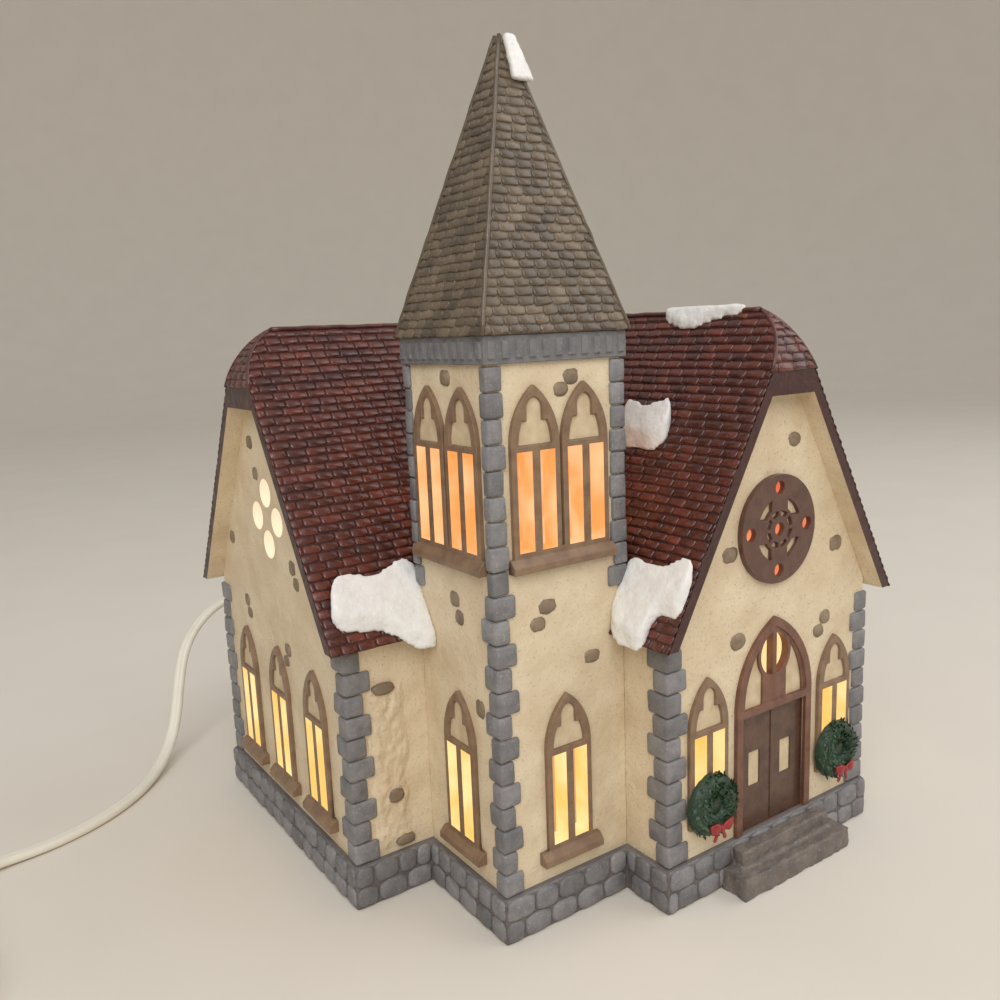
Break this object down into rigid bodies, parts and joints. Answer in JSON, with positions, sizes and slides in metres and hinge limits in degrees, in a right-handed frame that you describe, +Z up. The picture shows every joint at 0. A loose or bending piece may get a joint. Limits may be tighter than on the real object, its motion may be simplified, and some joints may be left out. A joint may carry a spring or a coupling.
{
  "type": "lit ceramic christmas village church",
  "caption": "Hollow ceramic village church with a corner bell tower and spire, lit through open lancet windows by a snap-in screw-base lamp on a corded switch and plug.",
  "frame": {"origin": "on the surface that it stands on, under the middle of the church with its lamp, without the cord", "axes": "+Z up, -Y towards the door's gable, +X to the right when the door is faced"},
  "size_m": [0.3439, 0.2208, 0.2305],
  "materials": {
    "wall_ceramic": "matte painted bisque",
    "roof_glaze": "dark red-brown",
    "spire_glaze": "grey-brown",
    "stone_grey": "matte grey-blue paint",
    "frame_taupe": "matte taupe paint",
    "door_brown": "satin brown paint",
    "wreath_green": "matte green paint",
    "ribbon_red": "red glaze",
    "snow_white": "white glaze",
    "lamp_white": "moulded",
    "cord_white": "moulded, soft",
    "switch_wheel": "knurled",
    "tie_black": "paper-covered wire",
    "spring_steel": "bright spring steel",
    "brass": "bright",
    "bulb_glass": "clear, lit",
    "bulb_wire": "tungsten and lead wire"
  },
  "bodies": {
    "house": {"belfry_back": "frame_taupe", "belfry_front": "frame_taupe", "belfry_left": "frame_taupe", "belfry_right": "frame_taupe", "door_leaves": "door_brown", "door_surround": "door_brown", "front_steps": "stone_grey", "main_roof": "roof_glaze", "quoins_front_far": "stone_grey", "quoins_front_near": "stone_grey", "quoins_left_far": "stone_grey", "quoins_left_near": "stone_grey", "quoins_rear": "stone_grey", "quoins_tower": "stone_grey", "rose_window": "door_brown", "snow_drift": "snow_white", "snow_front_eave": "snow_white", "snow_left_eave": "snow_white", "snow_ridge": "snow_white", "snow_spire": "snow_white", "spire": "spire_glaze", "stone_plinth": "stone_grey", "tower_cornice": "stone_grey", "tower_shell": "wall_ceramic", "wall_shell": "wall_ceramic", "window_front_1": "frame_taupe", "window_front_2": "frame_taupe", "window_left_1": "frame_taupe", "window_left_2": "frame_taupe", "window_left_3": "frame_taupe", "window_side_1": "frame_taupe", "window_side_2": "frame_taupe", "window_side_3": "frame_taupe", "window_tower_1": "frame_taupe", "window_tower_2": "frame_taupe", "wreath_1": "wreath_green", "wreath_2": "wreath_green", "wreath_bow_1": "ribbon_red", "wreath_bow_2": "ribbon_red"},
    "lamp": {"socket_body": "lamp_white", "socket_cap": "lamp_white", "screw_sleeve": "brass", "centre_contact": "brass", "spring_clip": "spring_steel", "strain_relief": "lamp_white", "cord_run": "cord_white", "cord_link": "cord_white", "cord_coil": "cord_white", "cord_tail": "cord_white", "cord_tie": "tie_black", "switch_base": "cord_white", "switch_cover": "cord_white", "switch_screws": "spring_steel", "plug_body": "cord_white", "plug_blades": "brass"},
    "bulb_cap": {"bulb_base": "brass"},
    "bulb": {"bulb_glass": "bulb_glass", "bulb_filament": "bulb_wire"},
    "switch_dial": {"switch_wheel": "switch_wheel"}
  },
  "joints": [
    {"name": "lamp_pull", "type": "slide", "parent": "house", "child": "lamp", "axis": [0, 1, 0], "range_m": [0, 0.085], "deforming": ["spring_clip"]},
    {"name": "bulb_out", "type": "slide", "parent": "lamp", "child": "bulb_cap", "axis": [0, -1, 0], "range_m": [0, 0.01016]},
    {"name": "bulb_turn", "type": "hinge", "parent": "bulb_cap", "child": "bulb", "pos_m": [-0.03895, 0.07715, 0.057], "axis": [0, -1, 0], "range_deg": [0, 1440]},
    {"name": "switch_turn", "type": "hinge", "parent": "lamp", "child": "switch_dial", "pos_m": [-0.17535, 0.01215, 0.006], "axis": [0, 0, 1], "continuous": true}
  ],
  "couplings": [
    {"joint": "bulb_out", "follows": "bulb_turn", "m_per_rad": 0.00040425}
  ]
}
